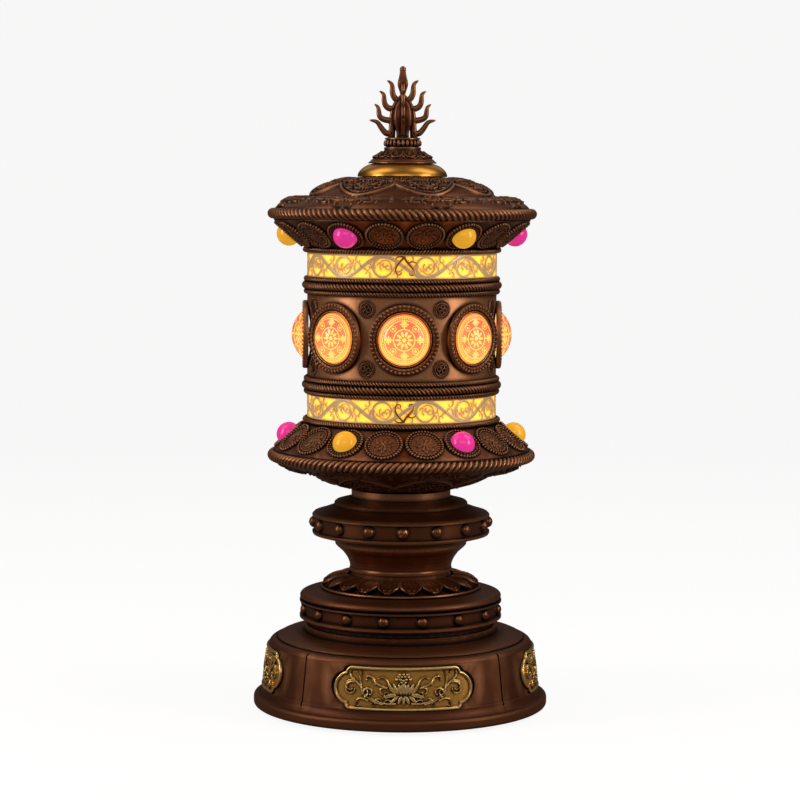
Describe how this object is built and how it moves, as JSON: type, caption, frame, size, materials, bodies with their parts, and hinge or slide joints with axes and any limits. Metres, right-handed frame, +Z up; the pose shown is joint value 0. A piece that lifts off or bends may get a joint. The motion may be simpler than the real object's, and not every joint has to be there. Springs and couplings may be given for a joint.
{
  "type": "prayer wheel",
  "caption": "Electric tabletop prayer wheel: a lit, jewelled drum under a domed roof turns on a stepped round stand with plaques.",
  "frame": {"origin": "on the table, under the centre of the four feet", "axes": "+Z up along the drum's axis, -Y towards the front plaque"},
  "size_m": [0.148, 0.148, 0.3213],
  "materials": {
    "bronze": "antique copper-brown satin lacquer on cast parts",
    "gold": "polished gold plate",
    "filigree": "etched brass band",
    "glow": "lit warm-yellow diffuser",
    "medallion": "lit printed disc",
    "lens": "clear domed lens",
    "pink_gem": "polished pink cabochon",
    "amber_gem": "polished amber cabochon",
    "steel": "turned steel",
    "bearing": "sintered bronze bush",
    "alloy": "cast hub",
    "cover": "textured dark brown plastic",
    "rubber": "soft matte feet",
    "black_plastic": "moulded black plastic",
    "nylon": "natural nylon gears",
    "board": "green solder mask",
    "white_plastic": "white lamp carrier",
    "led": "warm lamp chips",
    "paper": "rolled blank paper"
  },
  "bodies": {
    "stand": {"base_shell": "bronze", "bottom_cover": "cover", "cover_screws": "steel", "rubber_feet": "rubber", "front_plaque": "gold", "left_plaque": "gold", "right_plaque": "gold", "rear_panel": "bronze", "lower_pedestal": "bronze", "lower_studs": "bronze", "lotus_ring": "bronze", "waist_column": "bronze", "upper_pedestal": "bronze", "upper_studs": "bronze", "neck_collar": "bronze", "stand_tube": "steel", "tube_nuts": "steel", "lower_bearing": "bearing", "upper_bearing": "bearing", "thrust_washer": "steel", "drive_motor": "steel", "motor_bracket": "steel", "motor_screws": "steel", "slip_ring": "black_plastic", "circuit_board": "board", "dc_socket": "black_plastic", "power_switch": "black_plastic"},
    "drum": {"spindle": "steel", "drive_gear": "nylon", "contact_rings": "gold", "lower_hub": "alloy", "upper_hub": "alloy", "hub_nut": "steel", "scripture_roll": "paper", "led_carrier": "white_plastic", "led_chips": "led", "drum_sleeve": "bronze", "medallion_bezels": "bronze", "medallion_discs": "medallion", "medallion_lenses": "lens", "small_coins": "bronze", "lower_diffuser": "glow", "upper_diffuser": "glow", "lower_filigree": "filigree", "upper_filigree": "filigree", "lower_ropes": "bronze", "upper_ropes": "bronze", "lower_canopy": "bronze", "upper_canopy": "bronze", "bottom_dish": "bronze", "roof": "bronze", "pink_gems": "pink_gem", "amber_gems": "amber_gem", "gem_collars": "bronze", "rosettes": "bronze", "gold_dome": "gold", "finial": "bronze"},
    "motor_pinion": {"motor_shaft": "steel", "pinion": "nylon"},
    "button": {"power_button": "gold"}
  },
  "joints": [
    {"name": "drum_spin", "type": "hinge", "parent": "stand", "child": "drum", "pos_m": [0, 0, 0.188], "axis": [0, 0, 1], "continuous": true},
    {"name": "pinion_spin", "type": "hinge", "parent": "stand", "child": "motor_pinion", "pos_m": [-0.026, 0, 0.026], "axis": [0, 0, 1], "continuous": true},
    {"name": "button_press", "type": "slide", "parent": "stand", "child": "button", "axis": [0.1771, -0.9842, 0], "range_m": [0, 0.0015], "stiffness_N_per_m": 400}
  ],
  "couplings": [
    {"joint": "pinion_spin", "follows": "drum_spin", "ratio": -2.25}
  ]
}
